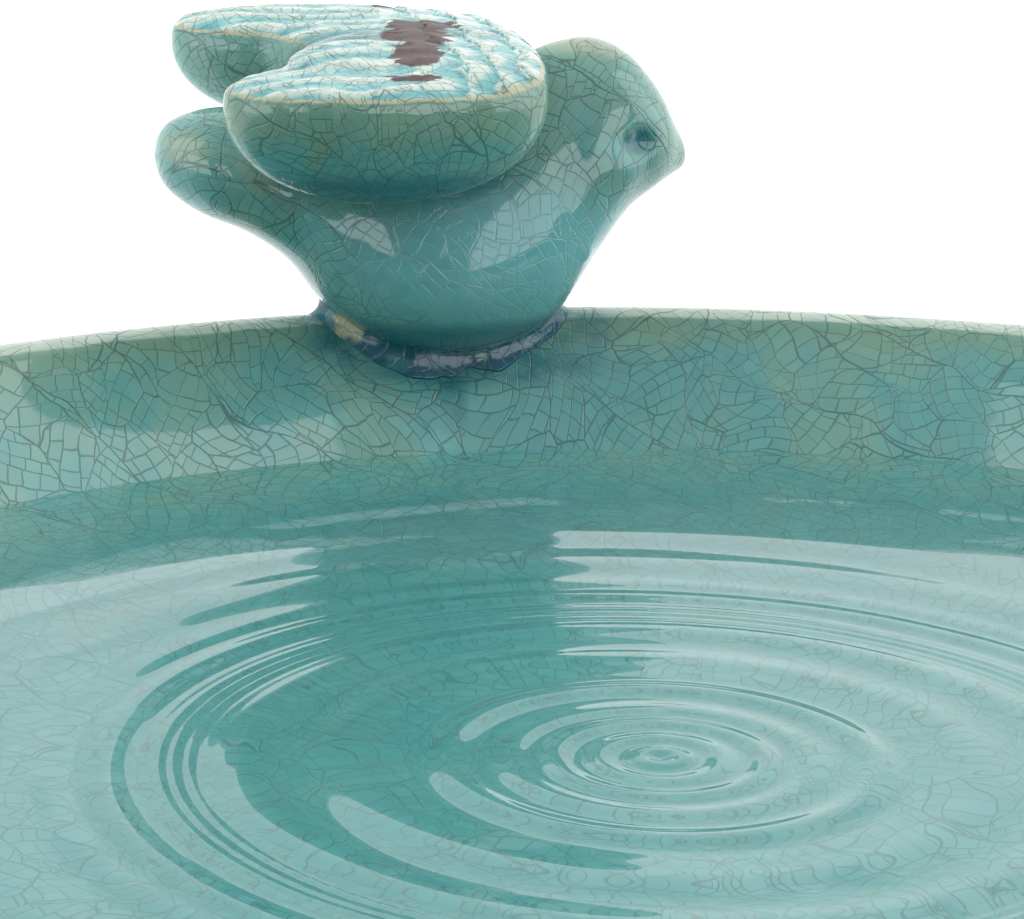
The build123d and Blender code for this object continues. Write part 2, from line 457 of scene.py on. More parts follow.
wing_points, wing_normals = points_of(wings), normals_of(wings)
on_top = smoothstep(0.5, 0.9, wing_normals[:, 2])
relief = feathers(wing_points)
lumps = wobble(wing_points, 7 * MM, 0.6) - 0.3
lift = ((relief - 0.55) * 0.6 + lumps * 0.5) * on_top * MM
set_points(wings, wing_points + wing_normals * lift[:, None])
set_attribute(wings, "relief", relief)
set_attribute(wings, "top", on_top)
print("feather relief", round(float(relief.min()), 2), "to", round(float(relief.max()), 2))

# %% Leaning the bird and setting it on the rim
LEAN = radians(5.7)
foot = Vector((0, lip_circle, RIM))
BIRD = Matrix.Translation(foot) @ Matrix.Rotation(LEAN, 4, "X")


def set_on_rim(piece):
    def turn():
        bpy.ops.transform.rotate(value=-LEAN, orient_axis="X", center_override=(0, 0, 0))

    edit(piece, turn, lambda: bpy.ops.transform.translate(value=foot))


set_on_rim(body)
set_on_rim(wings)
print("crown of the head", round(max(p[2] for p in points_of(body)), 4))

# %% [markdown]
# ## The slip seam
#
# The bird is stuck on with slip, which fills the narrow gap between its round belly and the lip, and is
# wiped to a hollow fillet with a finger. So the seam's shape follows from the two surfaces that it
# joins. All the way round the foot, a ray cast upwards finds how far the belly is above the lip. Where
# that gap reaches a couple of millimetres the fillet stands, and its hollow face runs from the belly
# down to the lip.

# %% How far the belly is above the lip
belly_tree = BVHTree.FromObject(body, bpy.context.evaluated_depsgraph_get())


def rim_height(x, y):
    """Height of the dish's upper surface, anywhere near the lip."""
    out = hypot(x, y) - lip_circle
    inner, outer = -LIP * sin(SLOPE), LIP * 0.8
    if out < inner:
        return RIM + LIP * cos(SLOPE) - LIP - (inner - out) * tan(SLOPE)
    if out > outer:
        return RIM + sqrt(LIP**2 - outer**2) - LIP - (out - outer) * outer / sqrt(LIP**2 - outer**2)
    return RIM + sqrt(LIP**2 - out**2) - LIP


def belly_height(x, y):
    hit = belly_tree.ray_cast(Vector((x, y, RIM - 40 * MM)), Vector((0, 0, 1)))[0]
    return hit.z if hit else RIM + 60 * MM


def reach_of_gap(a, gap):
    """Distance from the foot's middle, in direction a, where the belly is gap above the dish."""
    near, far = 2 * MM, 40 * MM
    for _ in range(26):
        r = (near + far) / 2
        x, y = foot.x + r * cos(a), foot.y + r * sin(a)
        if belly_height(x, y) - rim_height(x, y) < gap:
            near = r
        else:
            far = r
    return near


# %% The ring of slip
SEAM_RINGS, SEAM_AROUND = 240, 20
seam_lines = []
for k in range(SEAM_RINGS + 1):
    a = 2 * pi * (k % SEAM_RINGS) / SEAM_RINGS
    lump = noise.noise(Vector((cos(a) * 1.8, sin(a) * 1.8, 0.7)))
    lump += 0.3 * noise.noise(Vector((cos(a) * 4.5, sin(a) * 4.5, 3.2)))
    web = cos(a) ** 4
    gap = (1.7 + 0.7 * lump + 0.8 * web) * MM
    high = reach_of_gap(a, gap)
    low = high + (1.3 + 1.2 * lump + 0.8 * web) * MM
    seam_lines.append((a, gap, high, low, reach_of_gap(a, 0.05 * MM)))


def seam_point(u, v):
    a, gap, high, low, start = seam_lines[round(u * SEAM_RINGS)]

    def at(r, lift):
        x, y = foot.x + r * cos(a), foot.y + r * sin(a)
        return Vector((x, y, rim_height(x, y) + lift))

    belly = at(high, gap + 0.5 * MM)
    lip = at(low, -0.25 * MM)
    heel = at(high - 0.1 * gap, 0.15 * gap)
    inside = at(start - 1.5 * MM, -0.6 * MM)
    if v < 0.6:
        t = v / 0.6
        ripple = noise.noise(Vector((cos(a) * 6, sin(a) * 6, t * 2))) * 0.15 * MM * sin(pi * t)
        return belly * (1 - t) ** 2 + heel * 2 * t * (1 - t) + lip * t**2 + Vector((0, 0, ripple))
    if v < 0.8:
        t = (v - 0.6) / 0.2
        return lip.lerp(inside, t) - Vector((0, 0, 0.5 * MM * sin(pi * t)))
    return inside.lerp(belly, (v - 0.8) / 0.2)


def closed_ring(name, along_count, around, shape):
    """A ring-shaped skin: u runs once along it and v once round it."""
    start_clean()
    bpy.ops.mesh.primitive_grid_add(x_subdivisions=along_count, y_subdivisions=around, size=1)
    piece = bpy.context.object
    piece.name = piece.data.name = name
    set_points(piece, [shape(u, v) for u, v, _ in points_of(piece) + 0.5])
    close(piece)
    return piece


slip = closed_ring("bird_slip_seam", SEAM_RINGS, SEAM_AROUND, seam_point)
print("gap fillet reaches", [round(1000 * line[3], 1) for line in seam_lines[::40]])

# %% What each piece rides and stands for
for piece, node, slot_name in (
    (body, "bird_body", "bird_glaze"),
    (wings, "bird_wings", "wing_glaze"),
    (slip, "bird_seam", "seam_glaze"),
):
    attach(piece, "bowl")
    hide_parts(node)
    print(piece.name, [round(v, 4) for v in piece.dimensions])

# %% [markdown]
# ## The water
#
# Water stands 21 mm under the lip. A drop has just fallen in, and its rings run out: a few broad ones
# near the middle, then calm water, then a tight train of fine ones. Real geometry is the way to make
# them, because the reflections bend with the slope of the surface. The disc is a fine polar grid whose
# height is a sum of waves. It is closed underneath, just inside the clay, so that light passes straight
# from water to glaze with no film of air between.

# %% Rings on the water
WATER_BELOW_LIP = 21 * MM
WATER_BITE = 0.6 * MM           # how far the water reaches into the clay
SURFACE_SHARE = 0.96            # how much of the grid goes to the surface
water_height = RIM - WATER_BELOW_LIP
DROP = Vector((-13.6, 11.7)) * MM
SWELL, SWELL_SIZE = 0.10, 22 * MM   # height in mm
# radius, spacing and height of each group of rings, and how far it spreads either way, in mm
RING_GROUPS = [
    (2.5, 5.8, 0.26, 4.5),
    (13.0, 6.0, 0.20, 5.5),
    (26.5, 9.0, 0.30, 5.5),
    (39.0, 13.5, 0.17, 8.0),
    (52.0, 13.0, 0.20, 6.5),
    (59.5, 1.9, 0.045, 3.2),
    (68.0, 7.5, 0.13, 6.5),
    (86.0, 17.0, 0.10, 14.0),
]


def ripple(r):
    """Height of the water at a distance from the drop, all in mm."""
    height = 0
    for middle, spacing, tall, spread in RING_GROUPS:
        height += tall * cos(2 * pi * (r - middle) / spacing) * exp(-((r - middle) / spread) ** 2)
    return height


def water_point(u, v):
    """u runs from the drop out over the surface, down the wall and back underneath."""
    a = 2 * pi * v
    if u <= SURFACE_SHARE:
        share = u / SURFACE_SHARE
        edge = dish_wall(water_height) + WATER_BITE
        reach = Vector((cos(a), sin(a)))
        inside = DROP.dot(reach)
        limit = -inside + sqrt(inside**2 + edge**2 - DROP.length_squared)
        r = share * limit
        swell = SWELL * noise.noise(Vector((r * cos(a), r * sin(a), 0)) / SWELL_SIZE)
        hush = float(smoothstep(0, 8 * MM, limit - r))
        where = DROP + reach * r
        return Vector((where.x, where.y, water_height + (ripple(r / MM) + swell) * hush * MM))
    below = (u - SURFACE_SHARE) / (1 - SURFACE_SHARE)
    r = (1 - below) * (dish_wall(water_height) + WATER_BITE)
    floor = RIM - DEPTH + r * tan(FLOOR_SLOPE)
    wall = water_height - (dish_wall(water_height) - r) * tan(SLOPE)
    return Vector((r * cos(a), r * sin(a), max(floor, wall) - WATER_BITE))


water = wrapped("water", 192, 450, water_point, 0.000004)
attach(water, "bowl")
print("water level", water_height, "reaches out to", round(dish_wall(water_height), 4))

# %% [markdown]
# ## Building materials
#
# A material is a graph of nodes. This small class adds nodes and joins them, so that the recipes below
# read like sentences. Anything that is the same all over goes straight on the shader's own socket.


# %% A graph of nodes
def chip(red, green, blue):
    """A colour off a 0 to 255 paint chip, as the linear colour that the shader takes."""

    def linear(c):
        c = c / 255
        return c / 12.92 if c <= 0.04045 else ((c + 0.055) / 1.055) ** 2.4

    return (linear(red), linear(green), linear(blue), 1)


class Graph:
    def __init__(self, owner):
        owner.use_nodes = True
        self.tree = owner.node_tree
        self.tree.nodes.clear()

    def node(self, kind, **settings):
        made = self.tree.nodes.new("ShaderNode" + kind)
        for name, value in settings.items():
            setattr(made, name, value)
        return made

    def put(self, value, socket):
        if isinstance(value, bpy.types.NodeSocket):
            self.tree.links.new(value, socket)
        elif value is not None:
            socket.default_value = value

    def math(self, operation, a, b):
        made = self.node("Math", operation=operation)
        for value, socket in zip((a, b), made.inputs):
            self.put(value, socket)
        return made.outputs[0]

    def vector(self, operation, a, b=None, scale=None):
        made = self.node("VectorMath", operation=operation)
        self.put(a, made.inputs[0])
        self.put(b, made.inputs[1])
        if scale is not None:
            self.put(scale, made.inputs["Scale"])
        return made.outputs["Value" if operation in ("DOT_PRODUCT", "LENGTH") else "Vector"]

    def spread(self, value, low, high, to_low=0.0, to_high=1.0):
        made = self.node("MapRange", interpolation_type="SMOOTHSTEP")
        for v, socket in zip((value, low, high, to_low, to_high), made.inputs):
            self.put(v, socket)
        return made.outputs[0]

    def mix(self, share, a, b, blend="MIX"):
        made = self.node("Mix", data_type="RGBA", blend_type=blend)
        self.put(share, made.inputs["Factor"])
        self.put(a, made.inputs[6])
        self.put(b, made.inputs[7])
        return made.outputs[2]

    def noise(self, vector, size, detail=2.0, output="Fac"):
        made = self.node("TexNoise")
        self.put(vector, made.inputs["Vector"])
        self.put(1 / size, made.inputs["Scale"])
        self.put(detail, made.inputs["Detail"])
        return made.outputs[output]

    def bend(self, vector, size, amount, detail=1.0):
        """The vector pushed about by noise."""
        push = self.vector("SUBTRACT", self.noise(vector, size, detail, "Color"), (0.5, 0.5, 0.5))
        return self.vector("ADD", vector, self.vector("SCALE", push, scale=amount))

    def strips(self, w):
        """Uneven strips along a number: the distance to the nearest edge, and a colour for each."""
        edge = self.node("TexVoronoi", voronoi_dimensions="1D", feature="DISTANCE_TO_EDGE")
        cell = self.node("TexVoronoi", voronoi_dimensions="1D", feature="F1")
        for made in (edge, cell):
            self.put(w, made.inputs["W"])
            self.put(1.0, made.inputs["Scale"])
            self.put(0.55, made.inputs["Randomness"])
        return edge.outputs["Distance"], cell.outputs["Color"]

    def cells(self, vector, size, randomness):
        """Cells in space: distance to the nearest edge, a colour, the middle, the way to the edge."""
        made = {}
        for feature in ("DISTANCE_TO_EDGE", "F1", "F2"):
            made[feature] = self.node("TexVoronoi", feature=feature)
            self.put(vector, made[feature].inputs["Vector"])
            self.put(1 / size, made[feature].inputs["Scale"])
            self.put(randomness, made[feature].inputs["Randomness"])
        middle, next_middle = (made[f].outputs["Position"] for f in ("F1", "F2"))
        way = self.vector("NORMALIZE", self.vector("SUBTRACT", next_middle, middle))
        return made["DISTANCE_TO_EDGE"].outputs["Distance"], made["F1"].outputs["Color"], middle, way

    def laid_flat(self, distance, way):
        """A distance to a plane, measured along the surface instead of square to the plane."""
        lean = self.vector("LENGTH", self.vector("CROSS_PRODUCT", self.normal, way))
        return self.math("DIVIDE", distance, self.math("MAXIMUM", lean, 0.02))

    def blob(self, centre, radii, edge=0.25):
        """1 inside an egg with these radii and 0 outside it, in the piece's own coordinates."""
        away = self.vector("SUBTRACT", self.place, tuple(centre))
        away = self.vector("DIVIDE", away, tuple(radii))
        return self.spread(self.vector("LENGTH", away), 1 - edge, 1 + edge, 1.0, 0.0)


# %% [markdown]
# ## The craze
#
# Crazing grows in order. First come long sweeping cracks, then the glaze between them breaks into
# plates, and each plate breaks into strips and each strip into blocks. A late crack always stops at an
# early one, so it meets it in a T. The same order makes the pattern here. Each step is a cell texture
# whose coordinates are shifted by the colour of the plate that it lies in, so nothing crosses an
# earlier crack. Strips run in the plate's own direction, which is laid in the surface by a cross
# product with the surface's normal, and blocks run across them.


# %% Four generations of cracks
class Glaze(Graph):
    def __init__(self, owner):
        super().__init__(owner)
        where = self.node("TexCoord")
        self.place, self.normal = where.outputs["Object"], where.outputs["Normal"]

    def craze(self, size):
        """Makes self.cracks, from 0 to 1, and self.block, a colour for each block.

        The sizes are for blocks a little over 3 mm wide, times size.
        """
        sweep, plate, strip, block = (size * s * MM for s in (24, 10.5, 3.3, 3.4))
        bent = self.bend(self.place, size * 34 * MM, size * 18 * MM)
        bent = self.bend(bent, size * 11 * MM, size * 4 * MM, 0.0)
        bent = self.bend(bent, size * 3.5 * MM, size * 0.8 * MM)
        heading = (0.62, 0.35, 0.70)
        along_sweep = self.vector("DOT_PRODUCT", bent, tuple(h / sweep for h in heading))
        edge_0, colour_0 = self.strips(along_sweep)
        edge_0 = self.laid_flat(edge_0, heading)
        moved = self.vector("ADD", bent, colour_0)
        edge_1, colour_1, middle, across_edge = self.cells(moved, plate, 0.9)
        edge_1 = self.laid_flat(edge_1, across_edge)
        inside = self.vector("SUBTRACT", moved, middle)
        chance = self.vector("SUBTRACT", colour_1, (0.5, 0.5, 0.5))
        one_way = self.vector("NORMALIZE", self.vector("CROSS_PRODUCT", self.normal, chance))
        other_way = self.vector("CROSS_PRODUCT", self.normal, one_way)
        seed = self.math("MULTIPLY", self.vector("DOT_PRODUCT", colour_1, (1, 1, 1)), 31.0)
        u = self.math("DIVIDE", self.vector("DOT_PRODUCT", inside, one_way), strip)
        edge_2, colour_2 = self.strips(self.math("ADD", u, seed))
        seed_2 = self.math("MULTIPLY", self.vector("DOT_PRODUCT", colour_2, (1, 1, 1)), 47.0)
        v = self.math("DIVIDE", self.vector("DOT_PRODUCT", inside, other_way), block)
        edge_3, self.block = self.strips(self.math("ADD", v, seed_2))
        fade = self.spread(self.noise(self.place, size * 9 * MM), 0.3, 0.7, 0.6, 1.25)
        self.cracks = 0.0
        for edge, reach, width, dark in (
            (edge_0, sweep, 0.14, 1.0),
            (edge_1, plate, 0.13, 0.95),
            (edge_2, strip, 0.12, 0.85),
            (edge_3, block, 0.11, 0.75),
        ):
            away = self.math("DIVIDE", self.math("MULTIPLY", edge, reach / (width * MM)), fade)
            line = self.spread(away, 0.35, 1.5, dark, 0.0)
            self.cracks = self.math("MAXIMUM", self.cracks, line)

    def bump(self, height, depth, under=None):
        made = self.node("Bump")
        self.put(depth, made.inputs["Distance"])
        self.put(height, made.inputs["Height"])
        self.put(under, made.inputs["Normal"])
        return made.outputs["Normal"]

    def finish(self, colour, roughness, normal):
        """Joins the colour and the surface to a shader."""
        shader = self.node("BsdfPrincipled")
        self.put(colour, shader.inputs["Base Color"])
        self.put(roughness, shader.inputs["Roughness"])
        self.put(normal, shader.inputs["Normal"])
        self.put(shader.outputs[0], self.node("OutputMaterial").inputs["Surface"])


# %% [markdown]
# ## The glaze's colour
#
# The glaze is a copper teal. Where it lies thick it is blue and dark, where it is thin it goes grey
# green, then olive, and on the sharpest edges it breaks to tan. Slow noise moves it between those, and
# each little block between cracks takes a slightly different shade. Cracks hold dirt, so they are a
# dark grey green.

# %% Colours of the glaze
DEEP_BLUE = chip(24, 106, 122)
DARK_TEAL = chip(76, 146, 146)
TEAL = chip(96, 160, 158)
BELLY_BLUE = chip(114, 182, 190)
TURQUOISE = chip(116, 184, 186)
GREY_GREEN = chip(118, 164, 152)
OLIVE = chip(128, 152, 122)
TAN = chip(190, 184, 148)
CREAM = chip(210, 220, 208)
CRACK = chip(56, 92, 88)
PALE_CRACK = chip(150, 200, 196)
VALLEY_BLUE = chip(84, 160, 172)
SLIP_BLUE = chip(6, 92, 116)


def glaze_colour(g, olive=0.5, blue=0.5, tan_share=0.5):
    """The teal, olive and tan of the glaze. A share of 0.5 is usual; more brings more of it."""
    slow = g.noise(g.place, 26 * MM, 3.0)
    quick_noise = g.noise(g.place, 7 * MM, 4.0)
    both = g.math("ADD", g.math("MULTIPLY", slow, 0.62), g.math("MULTIPLY", quick_noise, 0.38))
    colour = g.mix(g.spread(both, 0.40, 0.60), TEAL, GREY_GREEN)
    other = g.noise(g.vector("ADD", g.place, (3.1, 1.7, 0.4)), 18 * MM, 3.0)
    colour = g.mix(g.spread(other, 0.70 - 0.3 * blue, 0.95 - 0.3 * blue), colour, TURQUOISE)
    patch = g.noise(g.vector("ADD", g.place, (0.4, 2.9, 5.2)), 13 * MM, 4.0)
    mask = g.spread(patch, 0.78 - 0.36 * olive, 0.98 - 0.36 * olive, 0.0, 0.85)
    colour = g.mix(mask, colour, OLIVE)
    fleck = g.noise(g.vector("ADD", g.place, (7.4, 0.9, 2.2)), 6 * MM, 5.0)
    mask = g.spread(fleck, 0.84 - 0.3 * tan_share, 1.0 - 0.3 * tan_share, 0.0, 0.6)
    return g.mix(mask, colour, TAN)


def cracked(g, colour, share, tint=CRACK):
    """Each block between cracks a little lighter or darker, and the cracks stained with a tint."""
    split = g.node("SeparateColor")
    g.put(g.block, split.inputs[0])
    shade = g.spread(split.outputs[0], 0.0, 1.0, 0.95, 1.035)
    grey = g.node("CombineColor")
    for i in range(3):
        g.put(shade, grey.inputs[i])
    colour = g.mix(1.0, colour, grey.outputs[0], "MULTIPLY")
    return g.mix(g.math("MULTIPLY", g.cracks, share), colour, tint)


# %% [markdown]
# On the dish the colour also follows height. The top of the lip is painted pale, a painted highlight
# that stands in for the bright room's reflection along it. Below it the glaze leans to olive for a
# finger's width, and lower down, from about the water's level, it goes a darker, quiet teal, with
# fainter cracks. Under the bird a little blue has run down the wall.

# %% The dish's glaze
def dress(piece, material):
    piece.data.materials.clear()
    piece.data.materials.append(material)


def height_in(g, start, end, ragged):
    """0 at one height and 1 at another, with an edge made ragged by noise."""
    split = g.node("SeparateXYZ")
    g.put(g.bend(g.place, 12 * MM, ragged, 5.0), split.inputs[0])
    return g.spread(split.outputs["Z"], start, end)


def sheen(g, low, high):
    return g.spread(g.noise(g.place, 9 * MM, 4.0), 0.3, 0.7, low, high)


def glaze_skin(g, waves=0.07, pits=0.004):
    """Slow waves in the glaze, the pinholes of burst bubbles and the grooves of the cracks."""
    slow = g.bump(g.noise(g.place, 11 * MM, 2.0), waves * MM)
    fine = g.bump(g.noise(g.place, 1.6 * MM, 2.0), pits * MM, slow)
    return g.bump(g.math("SUBTRACT", 1.0, g.cracks), 0.035 * MM, fine)


def new_glaze(name, size):
    """A glaze with its craze. The size is about 0.85 on the big pieces and less on the small bird."""
    g = Glaze(bpy.data.materials.new(name))
    g.craze(size)
    return g


# middle from the bird's foot, radii and share of each blue run, in mm
BLUE_RUNS = [
    ((-19, -5, -3), (9, 8, 5), 0.85),
    ((2, -8, -9), (22, 7, 3.0), 0.75),
    ((-3, -12, -14), (2.4, 5, 6), 0.6),
    ((20, -5, -3), (8, 7, 3.5), 0.55),
]
g = new_glaze("bowl crackle glaze", 0.85)
colour = glaze_colour(g, olive=0.42, blue=0.25, tan_share=0.4)
band = height_in(g, RIM - 7 * MM, RIM - 2 * MM, 5 * MM)
colour = g.mix(g.math("MULTIPLY", band, 0.45), colour, OLIVE)
# The top of the lip is painted pale cream: a painted highlight, the bright room's reflection along the
# lip.
lip_painted_highlight = height_in(g, RIM - 1.5 * MM, RIM - 1.1 * MM, 0.9 * MM)
colour = g.mix(g.math("MULTIPLY", lip_painted_highlight, 0.6), colour, CREAM)
# Lower down, from about the water's level, the wall is painted a darker teal and its cracks are
# fainter.
deep = height_in(g, RIM - 20 * MM, RIM - 46 * MM, 8 * MM)
colour = g.mix(g.math("MULTIPLY", deep, 0.75), colour, DARK_TEAL)
for where, radii, share in BLUE_RUNS:
    run = g.blob(foot + Vector(where) * MM, Vector(radii) * MM, 0.5)
    broken = g.spread(g.noise(g.place, 5 * MM, 3.0), 0.35, 0.6, 0.35, 1.0)
    colour = g.mix(g.math("MULTIPLY", g.math("MULTIPLY", run, share), broken), colour, DEEP_BLUE)
colour = cracked(g, colour, g.spread(deep, 0.0, 1.0, 0.75, 0.5))
g.finish(colour, sheen(g, 0.02, 0.06), glaze_skin(g))
dress(dish, bpy.data.materials["bowl crackle glaze"])
print("dish glaze nodes", len(g.tree.nodes))

# %% [markdown]
# ## The bird's glaze
#
# The body is brighter than the dish. Its belly is turquoise, crossed by pale raised hairlines where
# the glaze healed over old cracks. Deep blue has pooled in the dents of the eyes, in the crease under
# the wings and round the foot. On the crown, the beak and the tail, where the glaze pulled away from
# an edge, it goes tan.

# %% The body's glaze
def on_bird(x, y, z):
    return BIRD @ (Vector((x, y, z)) * MM)


def pools(g, colour, spots, tint):
    """Soft-edged patches of a tint, given as a middle, three radii in mm and a share."""
    for where, radii, share in spots:
        pool = g.blob(on_bird(*where), Vector(radii) * MM, 0.4)
        colour = g.mix(g.math("MULTIPLY", pool, share), colour, tint)
    return colour


BODY_POOLS = [
    ((EYE.x / MM, EYE.y / MM, EYE.z / MM), (3.4, 4, 2.2), 0.8),
    ((EYE.x / MM, -EYE.y / MM, EYE.z / MM), (3.4, 4, 2.2), 0.8),
    ((-2, -14, -1.0), (27, 12, 4.0), 0.8),
    ((-2, 14, -2), (27, 12, 6.0), 0.9),
    ((-14, 0, 25.5), (24, 24, 3.0), 0.6),
]
BODY_TAN = [
    ((40, 0, 27), (3, 5, 4), 0.35),
    ((-49, -6, 31), (4, 8, 3), 0.35),
    ((24, 0, 48), (12, 9, 3.0), 0.45),
    ((-36, -12, 30), (5, 6, 5), 0.35),
]
g = new_glaze("bird crackle glaze", 0.74)
colour = glaze_colour(g, olive=0.40, blue=0.55, tan_share=0.45)
belly = g.blob(on_bird(4, -19, 14), Vector((27, 12, 12)) * MM, 0.5)
colour = g.mix(g.math("MULTIPLY", belly, 0.75), colour, BELLY_BLUE)
colour = pools(g, colour, BODY_POOLS, DEEP_BLUE)
colour = pools(g, colour, BODY_TAN, TAN)
crack_tint = g.mix(g.math("MULTIPLY", belly, 0.7), CRACK, PALE_CRACK)
colour = cracked(g, colour, 0.75, crack_tint)
g.finish(colour, sheen(g, 0.02, 0.06), glaze_skin(g))
dress(body, bpy.data.materials["bird crackle glaze"])

# %% [markdown]
# On the wings the glaze ran off every ridge and pooled in every groove, so the ridges are nearly white
# and the grooves are turquoise. Between the shoulders the glaze missed a few spots, which show brown
# clay, dull and without colour. Where the top turns over to the side there is a thin tan edge, with
# olive below it on the near side.

# %% The wings' glaze
WING_OLIVE = [((-20, -24, 42), (40, 26, 5.5), 0.55)]
WING_POOLS = [((-22, 0, 26), (36, 40, 4), 0.75), ((-20, 0, 44), (30, 5, 9), 0.6)]
# middle and radii of each patch of bare clay, in mm
BARE_PATCHES = [
    ((-6.0, 7, 48), (7.0, 5, 8)),
    ((-9.5, -2, 48), (6.5, 7, 8)),
    ((-11, -13, 48), (4.6, 7, 8)),
    ((-14.5, -24.5, 48), (4.5, 1.8, 8)),
    ((-8, 27, 48), (4, 1.6, 8)),
    ((-4, 24, 48), (2, 1.4, 8)),
]
g = new_glaze("wing crackle glaze", 0.66)
colour = glaze_colour(g, olive=0.5, blue=0.35, tan_share=0.5)
relief_here = g.node("Attribute", attribute_name="relief").outputs["Fac"]
top_here = g.node("Attribute", attribute_name="top").outputs["Fac"]
mottle = g.math("SUBTRACT", g.noise(g.place, 2.4 * MM, 4.0), 0.5)
ridge = g.math("ADD", relief_here, g.math("MULTIPLY", mottle, 0.7))
feather = g.mix(g.spread(ridge, -0.15, 0.2), VALLEY_BLUE, TURQUOISE)
feather = g.mix(g.spread(ridge, 0.15, 0.7, 0.0, 0.85), feather, CREAM)
colour = pools(g, colour, WING_OLIVE, OLIVE)
colour = g.mix(top_here, colour, feather)
edge = g.math("MULTIPLY", g.spread(top_here, 0.02, 0.25), g.spread(top_here, 0.5, 0.95, 1.0, 0.0))
colour = g.mix(g.math("MULTIPLY", edge, 0.8), colour, TAN)
colour = pools(g, colour, WING_POOLS, DEEP_BLUE)
colour = cracked(g, colour, 0.7)
stretched = g.vector("MULTIPLY", g.place, (0.35, 1.0, 1.0))
jagged = g.vector("SUBTRACT", g.noise(stretched, 2.6 * MM, 4.0, "Color"), (0.5, 0.5, 0.5))
rough_edge = g.vector("ADD", g.place, g.vector("MULTIPLY", jagged, (11 * MM, 8 * MM, 4 * MM)))
bare = None
for where, radii in BARE_PATCHES:
    away = g.vector("SUBTRACT", rough_edge, tuple(on_bird(*where)))
    away = g.vector("DIVIDE", away, tuple(Vector(radii) * MM))
    spot = g.spread(g.vector("LENGTH", away), 0.9, 1.02, 1.0, 0.0)
    bare = spot if bare is None else g.math("MAXIMUM", bare, spot)
clay = g.mix(g.noise(g.place, 1.2 * MM, 5.0), chip(58, 46, 48), chip(104, 86, 84))
colour = g.mix(bare, colour, clay)
rough = g.math("ADD", sheen(g, 0.02, 0.07), g.math("MULTIPLY", bare, 0.5))
g.finish(colour, rough, glaze_skin(g))
dress(wings, bpy.data.materials["wing crackle glaze"])

# %% [markdown]
# The slip round the foot is rough, so the glaze is thick on it: nearly all deep blue, with teal on its
# high lumps and a few tan spots on the lump under the tail.

# %% The seam's glaze
g = new_glaze("seam pooled glaze", 0.85)
lump = g.noise(g.place, 5 * MM, 4.0)
colour = g.mix(g.spread(lump, 0.45, 0.8), SLIP_BLUE, DARK_TEAL)
lumps_here = g.blob(foot + Vector((-18, -6, -1)) * MM, Vector((5, 5, 3)) * MM, 0.3)
spots = g.spread(g.noise(g.vector("ADD", g.place, (2, 4, 6)), 4 * MM, 3.0), 0.45, 0.60)
colour = g.mix(g.math("MULTIPLY", spots, lumps_here), colour, TAN)
colour = cracked(g, colour, 0.6)
g.finish(colour, sheen(g, 0.08, 0.22), glaze_skin(g, 0.3, 0.06))
dress(slip, bpy.data.materials["seam pooled glaze"])

# %% [markdown]
# ## The pedestal and the seat ring
#
# The pedestal wears the same glaze as the dish, at the same scale. Down its foot the glaze ends in a
# thick blue roll above a bare band of brown clay, because a glazed foot would stick to the kiln shelf.
# The ring under the dish is soft black rubber: dull, a little dusty and finely grained.

# %% The pedestal's glaze and the ring's rubber
pedestal_low, pedestal_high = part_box("pedestal")
g = new_glaze("pedestal crackle glaze", 0.85)
colour = glaze_colour(g, olive=0.5, blue=0.4, tan_share=0.45)
roll = height_in(g, pedestal_low.z + 40 * MM, pedestal_low.z + 8 * MM, 6 * MM)
colour = g.mix(g.math("MULTIPLY", roll, 0.8), colour, DEEP_BLUE)
colour = cracked(g, colour, 0.8)
bare = height_in(g, pedestal_low.z + 6.8 * MM, pedestal_low.z + 6.0 * MM, 4 * MM)
clay = g.mix(g.noise(g.place, 2 * MM, 5.0), chip(104, 82, 70), chip(146, 120, 100))
colour = g.mix(bare, colour, clay)
rough = g.math("ADD", sheen(g, 0.06, 0.14), g.math("MULTIPLY", bare, 0.55))
g.finish(colour, rough, glaze_skin(g))
dress(bpy.data.objects["pedestal"], bpy.data.materials["pedestal crackle glaze"])

g = Glaze(bpy.data.materials.new("seat rubber"))
dust = g.noise(g.place, 6 * MM, 5.0)
colour = g.mix(g.spread(dust, 0.4, 0.8), chip(34, 34, 35), chip(84, 82, 78))
rough = g.spread(dust, 0.3, 0.7, 0.55, 0.85)
g.finish(colour, rough, g.bump(g.noise(g.place, 0.5 * MM, 3.0), 0.04 * MM))
dress(bpy.data.objects["seat_ring"], bpy.data.materials["seat rubber"])
print([m.name for m in bpy.data.materials])

# %% [markdown]
# ## Water
#
# Clear water needs no colour here, because it is only a hand deep. Light that has to light the glaze
# under it would be lost in the glass shader, so for shadow and diffuse rays the surface is simply
# clear.

# %% Clear water
g = Graph(bpy.data.materials.new("clear water"))
glass = g.node("BsdfPrincipled")
glass.inputs["Base Color"].default_value = (0.93, 0.985, 0.98, 1)
glass.inputs["Roughness"].default_value = 0.0
glass.inputs["IOR"].default_value = 1.333
glass.inputs["Transmission Weight"].default_value = 1.0
path = g.node("LightPath")
clear = g.math("MAXIMUM", path.outputs["Is Shadow Ray"], path.outputs["Is Diffuse Ray"])
both = g.node("MixShader")
g.put(clear, both.inputs[0])
g.put(glass.outputs[0], both.inputs[1])
g.put(g.node("BsdfTransparent").outputs[0], both.inputs[2])
g.put(both.outputs[0], g.node("OutputMaterial").inputs["Surface"])
dress(water, bpy.data.materials["clear water"])

# %% [markdown]
# ## Camera
#
# The camera stands a little above the lip, close to the front of the dish, and looks across the water
# at the bird on the far lip with a long lens.

